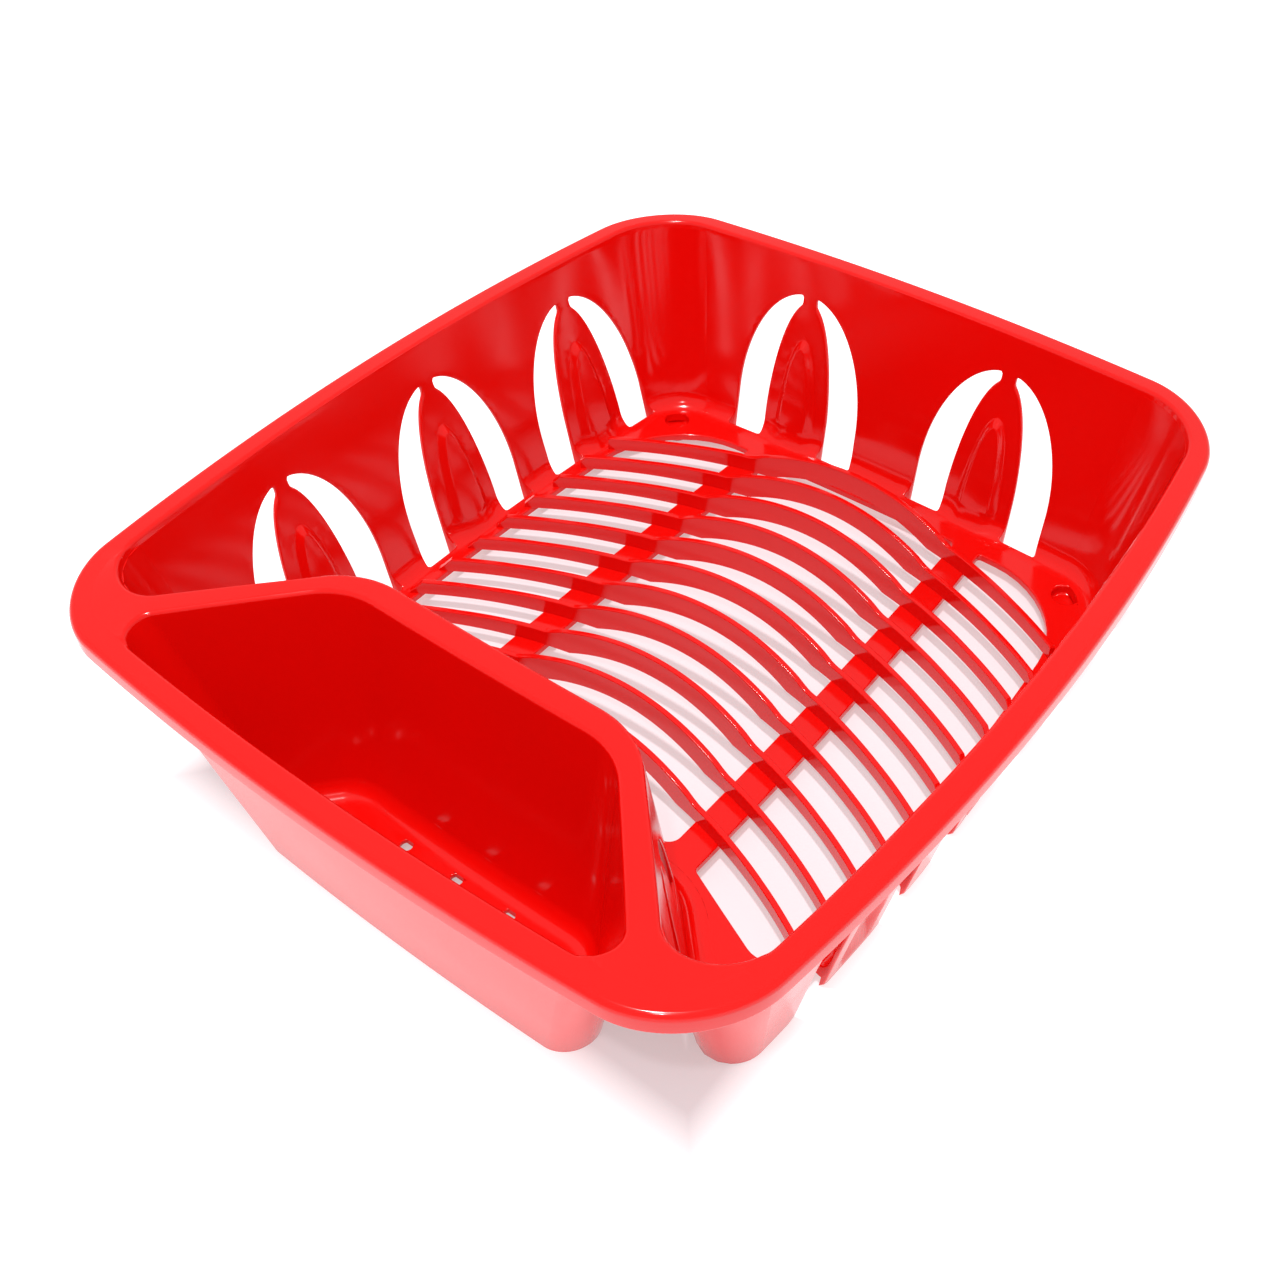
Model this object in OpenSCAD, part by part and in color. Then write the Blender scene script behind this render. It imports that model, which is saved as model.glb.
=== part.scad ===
// Dish drying rack: a drafted plastic tub with an arched rib floor and a
// trapezoid cutlery pocket. Origin at the bottom centre, +Z up, +X to the far end.

/* [Rim] */
// Overall length along X
rim_length = 413.4; // [405:0.2:420]
// Overall width along Y
rim_width = 356.8; // [350:0.2:362]
// Overall height
height = 115.5; // [110:0.5:120]
// Width of the rim band
rim_band = 11; // [10:0.5:12]
// Depth of the skirt round the rim
rim_skirt = 10; // [6:0.5:14]
// Radius of the rim's outer edge
rim_round = 3; // [2:0.5:4]
// How far the long sides bow out
side_bow = 18.3; // [12:0.1:20]
// How far the short ends bow out
end_bow = 9.8; // [6:0.1:12]

/* [Walls] */
// Wall thickness
wall = 2.4; // [2:0.1:3]
// Thickness of the flange and the skirt
flange = 2.4; // [2:0.1:3]
// Height of the basin floor's top face
floor_top = 9.5; // [9:0.5:11]
// Thickness of the floor plate and bars
plate = 4; // [3:0.5:4]
// Radius where the walls meet the floor
foot_round = 8.5; // [6:0.5:8.5]

/* [Arches] */
// Half width of an arched opening
arch_half = 37; // [34:0.5:38]
// Height of an arch's apex
arch_top = 95.5; // [90:0.5:97]
// Half width of the tongue inside an arch
tongue_half = 18.9; // [16:0.1:20]
// Height where the tongue's outline would close
tongue_top = 91.5; // [86:0.5:92]
// Half width of the neck that holds the tongue
neck_half = 3.7; // [3:0.1:4.5]
// Distance between the arches of a long side
arch_pitch = 98.4; // [94:0.2:99]
// Distance of the far wall's arches from the centre line
far_arch_y = 60.5; // [56:0.5:62]
// Depth of the tongue's pressed pad
pad_depth = 3; // [2:0.5:3]

/* [Ribs] */
// Distance between ribs
rib_pitch = 20.83; // [20:0.01:21]
// Thickness of a rib
rib_thick = 2.8; // [2.2:0.1:3.2]
// Plan radius of the ribs
rib_radius = 250; // [240:5:270]
// Rise of a rib's crest above the floor
rib_crest = 20.1; // [18:0.1:22]
// Distance of a bar's centre line from the middle
bar_y = 68.5; // [66:0.5:70]
// Width of a bar
bar_w = 15.6; // [13:0.2:17]

/* [Cutlery pocket] */
// Height of the pocket's floor
pocket_floor = 8.5; // [8:0.5:10]
// Radius where the pocket's walls meet its floor
pocket_round = 8; // [6:0.5:8]
// Diameter of a drain hole
drain_d = 5.5; // [4:0.5:7]
// Distance between drain holes
drain_pitch = 29; // [24:1:32]

/* [Feet] */
// Diameter of a foot's recess
foot_d = 13; // [11:0.5:13]
// Thickness of a foot's base
foot_base = 4.5; // [3:0.5:6]

/* [Hidden] */
$fn = 96;

rack_red = [0.86, 0.06, 0.04];
// Plan frame (u, v): u = 0 is the bow's centre, shift_x behind the origin
shift_x = 8;
half_l = 215;
half_w = rim_width / 2;
far_u = rim_length / 2 + shift_x;
near_u = rim_length / 2 - shift_x;
floor_under = floor_top - plate;
wall_head = height - flange;
corner_steps = 9;
side_step = 20;
pocket_gap = 0.4;

// Outlines as [u, v, corner radius], left half from the far end to the near end
rim_half = [[far_u, half_w, 43], [-near_u, half_w, 40]];
basin_head = [
    [far_u - rim_band, half_w - rim_band, 32],
    [-198, half_w - rim_band, 20],
    [-100, 70.8, 43],
];
basin_foot = [[190, 146.8, 26], [-155.7, 146.8, 12], [-86, 78.1, 40]];
pocket_head = [[-112, 70.2, 35], [-near_u + rim_band - pocket_gap, 142, 10]];
pocket_foot = [[-126, 67.6, 24], [-170, 108.7, 11]];
middle_half = [[171, bar_y - bar_w / 2, 3], [-70, bar_y - bar_w / 2, 6]];
outer_cells = [
    [171, bar_y + bar_w / 2, 2],
    [171.5, 135, 48],
    [-101, 134, 12],
    [-74, bar_y + bar_w / 2, 3],
];

// ---- plan geometry ----
function unit(v) = v / norm(v);
function lerp(a, b, t) = a + (b - a) * t;
function turned(p, a) = [p.x * cos(a) - p.y * sin(a), p.x * sin(a) + p.y * cos(a)];
function mirrored(v) = concat(v, [for (i = [len(v) - 1:-1:0]) [v[i].x, -v[i].y, v[i].z]]);
function flat(p) = [p.x, p.y];

// The round corner at p between its neighbours a and b
function corner(a, p, b, r) =
    let (
        da = unit(a - p),
        db = unit(b - p),
        half = acos(da * db) / 2,
        centre = p + unit(da + db) * r / sin(half),
        first = p + da * r / tan(half) - centre,
        last = p + db * r / tan(half) - centre,
        turn = atan2(cross(first, last), first * last)
    )
    [for (i = [0:corner_steps]) centre + turned(first, turn * i / corner_steps)];

// Number of steps along each side, the same at every level of one wall
function side_counts(v) =
    let (m = len(v))
    [for (i = [0:m - 1]) max(1, round(norm(flat(v[(i + 1) % m]) - flat(v[i])) / side_step) - 2)];

function outline(v, counts) =
    let (
        m = len(v),
        p = [for (corner_at = v) flat(corner_at)],
        arcs = [for (i = [0:m - 1]) corner(p[(i + m - 1) % m], p[i], p[(i + 1) % m], v[i].z)]
    )
    [for (i = [0:m - 1]) each concat(arcs[i], [for (j = [1:counts[i] - 1])
        lerp(arcs[i][corner_steps], arcs[(i + 1) % m][0], j / counts[i])])];

// The bow moves each point in proportion to its distance from the axes
function bow(p) = [
    p.x - p.x / half_l * end_bow * pow(p.y / half_w, 2) - shift_x,
    p.y - p.y / half_w * side_bow * pow(p.x / half_l, 2)];
function bowed(v, counts) = [for (p = outline(v, counts)) bow(p)];
function plan(v) = bowed(v, side_counts(v));

// Moves a ring outward by d along its own normals
function grown(ring, d) =
    let (m = len(ring))
    [for (i = [0:m - 1])
        let (t = unit(ring[(i + 1) % m] - ring[(i + m - 1) % m]))
        ring[i] + d * [t.y, -t.x]];

rim_plan = plan(mirrored(rim_half));
rim_counts = side_counts(mirrored(rim_half));
basin_counts = side_counts(mirrored(basin_head));
// The pocket starts at its inner left corner and runs round its outer side
pocket_counts = side_counts(mirrored(pocket_head));

function basin_ring(z) =
    let (t = (height - z) / (height - floor_top))
    bowed(lerp(mirrored(basin_head), mirrored(basin_foot), t), basin_counts);
function pocket_ring(z) =
    let (t = (height - z) / (height - pocket_floor))
    bowed(lerp(mirrored(pocket_head), mirrored(pocket_foot), t), pocket_counts);

// First station of corner i on a ring with these side counts
function station(counts, i) = i == 0 ? 0 : station(counts, i - 1) + corner_steps + counts[i - 1];

// ---- swept panels ----
function raised(ring, z) = [for (p = ring) [p.x, p.y, z]];

// A closed solid between two chains of rings, over a run of stations. The
// outer chain goes one way round the section and the inner one comes back.
module panel(outer, inner, first, steps) {
    m = len(outer);
    n = len(outer[0]);
    c = 2 * m;
    chain = concat(outer, [for (j = [m - 1:-1:0]) inner[j]]);
    points = [for (s = [0:steps]) for (j = [0:c - 1]) chain[j][(first + s) % n]];
    function at(s, j) = s * c + j % c;
    skin = [for (s = [0:steps - 1]) for (j = [0:c - 1]) each [
        [at(s, j), at(s + 1, j + 1), at(s + 1, j)],
        [at(s, j), at(s, j + 1), at(s + 1, j + 1)]]];
    caps = [for (j = [0:m - 2]) each [
        [at(0, j + 1), at(0, j), at(0, c - 1 - j)],
        [at(0, c - 2 - j), at(0, j + 1), at(0, c - 1 - j)],
        [at(steps, j), at(steps, j + 1), at(steps, c - 1 - j)],
        [at(steps, j + 1), at(steps, c - 2 - j), at(steps, c - 1 - j)]]];
    polyhedron(points, concat(skin, caps), convexity = 6);
}

// Rim band: flat on top, rounded at the outer edge, with a skirt below
module rim_panel(first, steps) {
    skirt_z = height - rim_skirt;
    top = concat(
        [raised(grown(rim_plan, -rim_band), height)],
        [for (a = [0:30:90])
            raised(grown(rim_plan, -rim_round * (1 - sin(a))), height - rim_round * (1 - cos(a)))],
        [raised(rim_plan, skirt_z)]);
    under = concat(
        [for (part = [1:-0.25:0]) raised(grown(rim_plan, -lerp(flange, rim_band, part)), wall_head)],
        [raised(grown(rim_plan, -flange), skirt_z)]);
    color(rack_red) panel(under, top, first, steps);
}
module rim_side(i) {
    rim_panel(station(rim_counts, i) + corner_steps, rim_counts[i]);
}
module rim_corner(i) {
    rim_panel(station(rim_counts, i), corner_steps);
}

// Fillet between wall and floor, as [offset, z] pairs going up
function fillet(r, z) = [for (a = [0:22.5:90]) [-r * (1 - sin(a)), z + r * (1 - cos(a))]];

// Heights of the section points on a wall's outer face
function outer_heights(under, round_in) =
    concat([0, under, (under + round_in[0].y) / 2], [for (p = round_in) p.y], [wall_head]);

module basin_panel(first, steps) {
    round_in = fillet(foot_round, floor_top);
    floor_ring = grown(basin_ring(floor_top), -foot_round);
    inner = concat(
        [raised(basin_ring(0), 0), raised(basin_ring(floor_under), floor_under)],
        [raised(floor_ring, floor_under)],
        [for (p = round_in) raised(grown(basin_ring(p.y), p.x), p.y)],
        [raised(basin_ring(wall_head), wall_head)]);
    outer = [for (z = outer_heights(floor_under, round_in)) raised(grown(basin_ring(z), wall), z)];
    panel(outer, inner, first, steps);
}
module basin_side(i) {
    basin_panel(station(basin_counts, i) + corner_steps, basin_counts[i]);
}
module basin_corner(i) {
    basin_panel(station(basin_counts, i), corner_steps);
}

module pocket_panel(first, steps) {
    under = pocket_floor - wall;
    round_in = fillet(pocket_round, pocket_floor);
    floor_ring = grown(pocket_ring(pocket_floor), -pocket_round);
    inner = concat(
        [raised(pocket_ring(0), 0), raised(pocket_ring(under), under), raised(floor_ring, under)],
        [for (p = round_in) raised(grown(pocket_ring(p.y), p.x), p.y)],
        [raised(pocket_ring(wall_head), wall_head)]);
    outer = [for (z = outer_heights(under, round_in)) raised(grown(pocket_ring(z), wall), z)];
    color(rack_red) panel(outer, inner, first, steps);
}

// ---- arches ----
ellipse_step = 7.5;
arch_spring = 28.5;
tongue_spring = 17.5;
neck_h = 12;
arch_bite = 4.5;
reach = 40;
overrun = 4;
side_lean = 3;
far_lean = 1.3;
diagonal_shrink = 0.8;
diagonal_from = 41.5;
first_arch_u = -65;

// Inner foot of the wall where an arch stands, and its outward turn from +Y
side_arch_u = [for (i = [0:2]) first_arch_u + i * arch_pitch];
function side_foot(u) = bow([u, basin_foot[0].y]);
function side_turn(u) = atan(-2 * basin_foot[0].y / half_w * side_bow * u / pow(half_l, 2));
far_foot = bow([basin_foot[0].x, far_arch_y]);
far_turn = -90 + atan(2 * basin_foot[0].x / half_l * end_bow * far_arch_y / pow(half_w, 2));
diagonal_foot = bow((flat(basin_foot[1]) + flat(basin_foot[2])) / 2);
diagonal_run = unit(flat(basin_foot[2]) - flat(basin_foot[1]));
diagonal_turn = atan2(-diagonal_run.x, diagonal_run.y) - 90;
side_draft = atan((basin_head[0].y - basin_foot[0].y) / (height - floor_top));
far_draft = atan((basin_head[0].x - basin_foot[0].x) / (height - floor_top));

// Stands a child, drawn with X across, Y up and Z outward, against a wall
module against_wall(foot, turn, lean) {
    translate([foot.x, foot.y, 0]) rotate([0, 0, turn + 180])
        rotate([90, 0, 0]) rotate([0, 0, -lean]) children();
}
function half_ellipse(w, spring, top) = concat(
    [[w, -overrun]],
    [for (a = [0:ellipse_step:180]) [w * cos(a), spring + (top - spring) * sin(a)]],
    [[-w, -overrun]]);
module arch_outline(shrink, from) {
    intersection() {
        polygon(half_ellipse(arch_half * shrink, arch_spring, arch_top));
        translate([-arch_half, from]) square([2 * arch_half, 2 * arch_top]);
    }
}
module arch_block(shrink = 1, from = -overrun) {
    translate([0, 0, -arch_bite]) linear_extrude(reach) arch_outline(shrink, from);
}
module tongue_block(shrink = 1, from = -overrun) {
    translate([0, 0, -arch_bite]) linear_extrude(reach) intersection() {
        arch_outline(shrink, from);
        union() {
            polygon(half_ellipse(tongue_half * shrink, tongue_spring, tongue_top));
            translate([-neck_half, tongue_top - neck_h]) square([2 * neck_half, 2 * neck_h]);
        }
    }
}

// The pad pressed inward into a tongue, widest at the floor, closing to a tip
pad_base = [12.4, 62];
pad_face = [8.2, 57];
function pad_ring(size, depth) =
    [for (a = [0:2 * ellipse_step:180]) [size.x * cos(a), size.y * sin(a), depth]];
module pad(draft) {
    sink = 0.4;
    base = pad_ring(pad_base, sink);
    face = pad_ring(pad_face, -pad_depth);
    n = len(base);
    sides = [for (i = [0:n - 1]) each [
        [i, n + i, (i + 1) % n],
        [(i + 1) % n, n + i, n + (i + 1) % n]]];
    translate([0, floor_top, 0]) rotate([draft, 0, 0]) polyhedron(
        concat(base, face),
        concat([[for (i = [n - 1:-1:0]) i]], [[for (i = [0:n - 1]) n + i]], sides));
}

// A tongue is the part of its wall, given as the child, that its block cuts out
module padded_tongue(foot, turn, lean, draft) {
    color(rack_red) difference() {
        union() {
            intersection() {
                children();
                against_wall(foot, turn, lean) tongue_block();
            }
            against_wall(foot, turn, lean) pad(draft);
        }
        against_wall(foot, turn, lean) translate([0, 0, wall]) pad(draft);
    }
}
module side_tongue(i) {
    padded_tongue(side_foot(side_arch_u[i]), side_turn(side_arch_u[i]), side_lean, side_draft) basin_side(0);
}
module side_arch(i) {
    against_wall(side_foot(side_arch_u[i]), side_turn(side_arch_u[i]), side_lean) arch_block();
}

// ---- rim ----
module rim_far() { rim_side(3); }
module rim_left() { rim_side(0); }
module rim_near() { rim_side(1); }
module rim_right() { rim_side(2); }
module rim_corner_far_left() { rim_corner(0); }
module rim_corner_near_left() { rim_corner(1); }
module rim_corner_near_right() { rim_corner(2); }
module rim_corner_far_right() { rim_corner(3); }

// The flat deck between the rim band, the basin and the pocket
deck_from_u = -150;
deck_cut_y = 140;
deck_split_y = 104;
module deck() {
    translate([0, 0, wall_head]) linear_extrude(flange) difference() {
        polygon(grown(rim_plan, -rim_band));
        polygon(basin_ring(height));
        polygon(pocket_ring(height));
        for (side = [0, 1]) mirror([0, side])
            translate([deck_from_u - shift_x, deck_cut_y]) square([rim_length, half_w]);
        translate([0, -half_w]) square([rim_length, rim_width]);
    }
}
module web_left() {
    color(rack_red) intersection() {
        deck();
        translate([-rim_length / 2, deck_split_y, 0]) cube([rim_length, half_w, 2 * height]);
    }
}
module web_right() { mirror([0, 1, 0]) web_left(); }
module bridge() {
    color(rack_red) intersection() {
        deck();
        translate([-rim_length / 2, -deck_split_y, 0]) cube([rim_length, 2 * deck_split_y, 2 * height]);
    }
}

// ---- basin walls ----
module wall_left() {
    color(rack_red) difference() {
        basin_side(0);
        for (i = [0:2]) side_arch(i);
    }
}
module wall_right() { mirror([0, 1, 0]) wall_left(); }
module wall_far() {
    color(rack_red) difference() {
        basin_side(5);
        for (side = [0, 1]) mirror([0, side, 0]) against_wall(far_foot, far_turn, far_lean) arch_block();
    }
}
module wall_divider() {
    steps = 2 * corner_steps + basin_counts[2];
    color(rack_red) difference() {
        basin_panel(station(basin_counts, 2), steps);
        for (side = [0, 1]) mirror([0, side, 0]) diagonal_arch();
    }
}
module diagonal_arch() {
    against_wall(diagonal_foot, diagonal_turn, 0) arch_block(diagonal_shrink, diagonal_from);
}
module wall_diagonal_left() {
    color(rack_red) difference() {
        basin_side(1);
        diagonal_arch();
    }
}
module wall_diagonal_right() { mirror([0, 1, 0]) wall_diagonal_left(); }
module corner_far_left() {
    color(rack_red) difference() {
        basin_corner(0);
        side_arch(2);
    }
}
module corner_far_right() { mirror([0, 1, 0]) corner_far_left(); }
module corner_near_left() {
    color(rack_red) difference() {
        basin_corner(1);
        diagonal_arch();
    }
}
module corner_near_right() { mirror([0, 1, 0]) corner_near_left(); }

// ---- tongues ----
module tongue_left_1() { side_tongue(0); }
module tongue_left_2() { side_tongue(1); }
module tongue_left_3() { side_tongue(2); }
module tongue_right_1() { mirror([0, 1, 0]) side_tongue(0); }
module tongue_right_2() { mirror([0, 1, 0]) side_tongue(1); }
module tongue_right_3() { mirror([0, 1, 0]) side_tongue(2); }
module tongue_far_left() { padded_tongue(far_foot, far_turn, far_lean, far_draft) basin_side(5); }
module tongue_far_right() { mirror([0, 1, 0]) tongue_far_left(); }
module tongue_diagonal_left() {
    color(rack_red) intersection() {
        basin_side(1);
        against_wall(diagonal_foot, diagonal_turn, 0) tongue_block(diagonal_shrink, diagonal_from);
    }
}
module tongue_diagonal_right() { mirror([0, 1, 0]) tongue_diagonal_left(); }

// ---- floor ----
bar_from_x = -74 - shift_x;
bar_to_x = 170 - shift_x;
module bar_shape() {
    translate([bar_from_x, bar_y - bar_w / 2]) square([bar_to_x - bar_from_x, bar_w]);
}
module outer_opening() {
    polygon(plan(outer_cells));
}
module grid_opening() {
    polygon(plan(mirrored(middle_half)));
    for (side = [0, 1]) mirror([0, side]) {
        outer_opening();
        bar_shape();
    }
}
module floor_outline() {
    polygon(grown(basin_ring(floor_top), -foot_round));
}
far_foot_at = [168.5 - shift_x, 119.5];
near_foot_at = [-108 - shift_x, 122];
foot_places = [for (p = [far_foot_at, near_foot_at]) for (side = [1, -1]) [p.x, side * p.y]];
foot_wall = 1.6;
module floor_plate() {
    color(rack_red) translate([0, 0, floor_under]) linear_extrude(plate) difference() {
        floor_outline();
        grid_opening();
        for (p = foot_places) translate(p) circle(d = foot_d + 2 * foot_wall);
    }
}
module bar_left() {
    color(rack_red) translate([0, 0, floor_under]) linear_extrude(plate) bar_shape();
}
module bar_right() { mirror([0, 1, 0]) bar_left(); }
module foot(i) {
    color(rack_red) translate(foot_places[i]) difference() {
        cylinder(d = foot_d + 2 * foot_wall, h = floor_top);
        translate([0, 0, foot_base]) cylinder(d = foot_d, h = floor_top);
    }
}
module foot_far_left() { foot(0); }
module foot_far_right() { foot(1); }
module foot_near_left() { foot(2); }
module foot_near_right() { foot(3); }

// ---- ribs ----
// First rib's face beside a bar, in the plan frame
rib_first_u = 156.2;
rib_end_y = 139;
rib_step_y = 2;
rib_facets = 360;
rib_fade_y = 133;
rib_tip = 0.05;
crest_radius = 166;
belly_radius = 131;
belly_half = 48;
shoulder_from_y = 52;
shoulder_to_y = 66;
shoulder_h = 8.6;
shoulder_fall = 1.5;
shoulder_run = 38;
// A circle's drop below its top at distance y from the middle
function drop(r, y) = r - sqrt(r * r - y * y);
// Height of a rib above the floor: a crest in the middle, a low shoulder over each bar, a fade
function rib_crest_at(y) = rib_crest - drop(crest_radius, min(y, shoulder_to_y));
function rib_shoulder_at(y) =
    shoulder_h - shoulder_fall * max(0, min(1, (y - shoulder_to_y) / shoulder_run));
function rib_height(y) =
    y > rib_fade_y ? lerp(rib_shoulder_at(y), rib_tip, (y - rib_fade_y) / (rib_end_y - rib_fade_y))
    : y > shoulder_to_y ? rib_shoulder_at(y)
    : y < shoulder_from_y ? rib_crest_at(y)
    : let (t = (y - shoulder_from_y) / (shoulder_to_y - shoulder_from_y))
        lerp(rib_crest_at(y), rib_shoulder_at(y), (1 - cos(180 * t)) / 2);
function rib_belly(y) = max(0, drop(belly_radius, belly_half) - drop(belly_radius, min(y, belly_half)));
module rib_plan(apex_x) {
    translate([apex_x - rib_radius, 0]) difference() {
        circle(r = rib_radius + rib_thick, $fn = rib_facets);
        circle(r = rib_radius, $fn = rib_facets);
    }
}
module rib(k) {
    apex_x = rib_first_u - rib_pitch * k + drop(rib_radius, bar_y - bar_w / 2) - shift_x;
    ys = [-rib_end_y:rib_step_y:rib_end_y];
    back = [rib_end_y:-rib_step_y:-rib_end_y];
    side_profile = concat(
        [for (y = ys) [y, floor_top + rib_height(abs(y))]],
        [for (y = back) [y, floor_top + rib_belly(abs(y))]]);
    color(rack_red) intersection() {
        linear_extrude(floor_top + 2 * rib_crest) intersection() {
            rib_plan(apex_x);
            floor_outline();
        }
        translate([apex_x - rib_radius / 2, 0, 0]) rotate([90, 0, 90])
            linear_extrude(rib_radius) polygon(side_profile);
    }
}
module rib_01() { rib(0); }
module rib_02() { rib(1); }
module rib_03() { rib(2); }
module rib_04() { rib(3); }
module rib_05() { rib(4); }
module rib_06() { rib(5); }
module rib_07() { rib(6); }
module rib_08() { rib(7); }
module rib_09() { rib(8); }
module rib_10() { rib(9); }
module rib_11() { rib(10); }

// ---- cutlery pocket ----
drain_u = -137;
module pocket_wall_left() {
    pocket_panel(station(pocket_counts, 0) + corner_steps, pocket_counts[0]);
}
module pocket_wall_outer() {
    pocket_panel(station(pocket_counts, 1), 2 * corner_steps + pocket_counts[1]);
}
module pocket_wall_right() {
    pocket_panel(station(pocket_counts, 2) + corner_steps, pocket_counts[2]);
}
module pocket_wall_inner() {
    pocket_panel(station(pocket_counts, 3), 2 * corner_steps + pocket_counts[3]);
}
module pocket_floor_plate() {
    color(rack_red) translate([0, 0, pocket_floor - wall]) linear_extrude(wall) difference() {
        polygon(grown(pocket_ring(pocket_floor), -pocket_round));
        for (i = [-1:1]) translate([drain_u - shift_x, i * drain_pitch]) circle(d = drain_d);
    }
}

rim_far();
rim_left();
rim_near();
rim_right();
rim_corner_far_left();
rim_corner_near_left();
rim_corner_near_right();
rim_corner_far_right();
web_left();
web_right();
bridge();
wall_far();
wall_left();
wall_right();
wall_divider();
wall_diagonal_left();
wall_diagonal_right();
corner_far_left();
corner_near_left();
corner_near_right();
corner_far_right();
tongue_left_1();
tongue_left_2();
tongue_left_3();
tongue_right_1();
tongue_right_2();
tongue_right_3();
tongue_far_left();
tongue_far_right();
tongue_diagonal_left();
tongue_diagonal_right();
floor_plate();
bar_left();
bar_right();
rib_01();
rib_02();
rib_03();
rib_04();
rib_05();
rib_06();
rib_07();
rib_08();
rib_09();
rib_10();
rib_11();
foot_far_left();
foot_far_right();
foot_near_left();
foot_near_right();
pocket_wall_outer();
pocket_wall_left();
pocket_wall_right();
pocket_wall_inner();
pocket_floor_plate();
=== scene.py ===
"""A red moulded dish drying rack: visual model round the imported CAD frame.

Lengths are in millimetres until a mesh is written, where MM turns them to metres.
The plan frame (u, v) is the rack before its sides are bowed; z is the real height.
"""
import math
import bpy
import bmesh
import numpy as np
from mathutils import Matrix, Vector
from mathutils.geometry import delaunay_2d_cdt
from mathutils.kdtree import KDTree


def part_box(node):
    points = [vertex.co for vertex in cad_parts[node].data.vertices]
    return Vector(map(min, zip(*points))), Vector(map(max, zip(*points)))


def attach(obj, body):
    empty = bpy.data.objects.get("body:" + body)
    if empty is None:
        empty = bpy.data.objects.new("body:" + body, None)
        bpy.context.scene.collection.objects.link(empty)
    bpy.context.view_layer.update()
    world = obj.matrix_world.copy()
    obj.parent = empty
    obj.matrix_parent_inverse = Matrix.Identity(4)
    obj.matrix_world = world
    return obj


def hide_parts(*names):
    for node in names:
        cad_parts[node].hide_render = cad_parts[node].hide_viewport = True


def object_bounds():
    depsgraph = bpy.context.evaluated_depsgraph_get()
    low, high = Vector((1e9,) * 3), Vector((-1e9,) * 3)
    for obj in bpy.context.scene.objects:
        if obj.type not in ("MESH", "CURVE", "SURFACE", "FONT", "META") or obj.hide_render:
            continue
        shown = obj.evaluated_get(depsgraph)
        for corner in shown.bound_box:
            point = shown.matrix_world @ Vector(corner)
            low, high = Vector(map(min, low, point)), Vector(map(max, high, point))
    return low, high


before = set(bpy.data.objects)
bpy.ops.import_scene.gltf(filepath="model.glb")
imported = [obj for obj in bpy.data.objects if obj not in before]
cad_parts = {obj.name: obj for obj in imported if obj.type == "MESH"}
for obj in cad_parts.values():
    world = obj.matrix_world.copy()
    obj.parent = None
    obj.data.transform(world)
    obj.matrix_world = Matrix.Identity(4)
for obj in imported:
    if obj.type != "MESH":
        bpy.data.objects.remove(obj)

cad_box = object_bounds()
MM = 0.001


def in_mm(box, digits=2):
    """Lowest and highest corners of a box from the frame, in millimetres."""
    return np.round(np.array([tuple(corner) for corner in box]) / MM, digits)


# ---- driving sizes ----
HALF_LENGTH, HALF_W, HEIGHT = in_mm(cad_box)[1]
HALF_L = 215.0
SIDE_BOW = 18.3
END_BOW = 9.8
SHIFT_X = 8.0
RIM_BAND = 11.0
RIM_ROUND = 3.0
SKIRT = 10.0
WALL = 2.4
LIP_ROUND = 1.7
LIP_END = 111.5
FLOOR_TOP = in_mm(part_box("floor_plate"))[1, 2]
PLATE = 4.0
FOOT_ROUND = 8.5
DECK_STEP = 0.6

ARCH_HALF = 37.0
ARCH_SPRING = 28.5
ARCH_TOP = 95.5
TONGUE_HALF = 18.9
TONGUE_SPRING = 17.5
TONGUE_TOP = 91.5
NECK_HALF = 4.0
ARCH_BITE = 4.5
DIAGONAL_SHRINK = 0.8
DIAGONAL_FROM = 41.5
PAD_DEPTH = 3.0
PAD_BASE = (12.4, 62.0)
PAD_FLANK = 4.4
EDGE_ROUND = 0.8
FOOT_FLARE = 1.6

RIB_COUNT = 11
RIB_PITCH = 20.83
RIB_THICK = 2.8
RIB_RADIUS = 250.0
RIB_FIRST_U = 156.2
RIB_CREST = 20.1
RIB_END_Y = 139.0
BAR_Y = 68.5
BAR_W = 15.6

POCKET_FLOOR = in_mm(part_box("pocket_floor_plate"))[1, 2]
POCKET_ROUND = 8.0
POCKET_GAP = 0.4
DRAIN_R = 2.75
DRAIN_PITCH = 29.0
DRAIN_U = -137.0
FOOT_R = 6.5
FOOT_WALL = 1.6
FOOT_BASE = 4.5
FOOT_NAMES = ["foot_%s_%s" % (end, hand) for end in ("far", "near") for hand in ("left", "right")]
FOOT_PLACES = [in_mm(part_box(foot_name)).mean(0).round(1)[:2] for foot_name in FOOT_NAMES]


def mirrored(half):
    """The whole outline from its left half, given as (u, v, corner radius)."""
    return np.array(half + [(u, -v, r) for u, v, r in reversed(half)], float)


FAR_U = HALF_LENGTH + SHIFT_X
NEAR_U = SHIFT_X - HALF_LENGTH
INSIDE_W = HALF_W - RIM_BAND
RIM = mirrored([(FAR_U, HALF_W, 43), (NEAR_U, HALF_W, 40)])
BASIN_HEAD = mirrored([(FAR_U - RIM_BAND, INSIDE_W, 32), (-198, INSIDE_W, 20), (-100, 70.8, 43)])
BASIN_FOOT = mirrored([(190, 146.8, 26), (-155.7, 146.8, 12), (-86, 78.1, 40)])
POCKET_HEAD = mirrored([(-112, 70.2, 35), (NEAR_U + RIM_BAND - POCKET_GAP, 142, 10)])
POCKET_FOOT = mirrored([(-126, 67.6, 24), (-170, 108.7, 11)])


# ---- plan geometry ----
def bow(p):
    u, v = p[..., 0], p[..., 1]
    x = u - u / HALF_L * END_BOW * (v / HALF_W) ** 2 - SHIFT_X
    y = v - v / HALF_W * SIDE_BOW * (u / HALF_L) ** 2
    return np.stack([x, y], -1)


def unit(v):
    return v / np.linalg.norm(v, axis=-1, keepdims=True)


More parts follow.
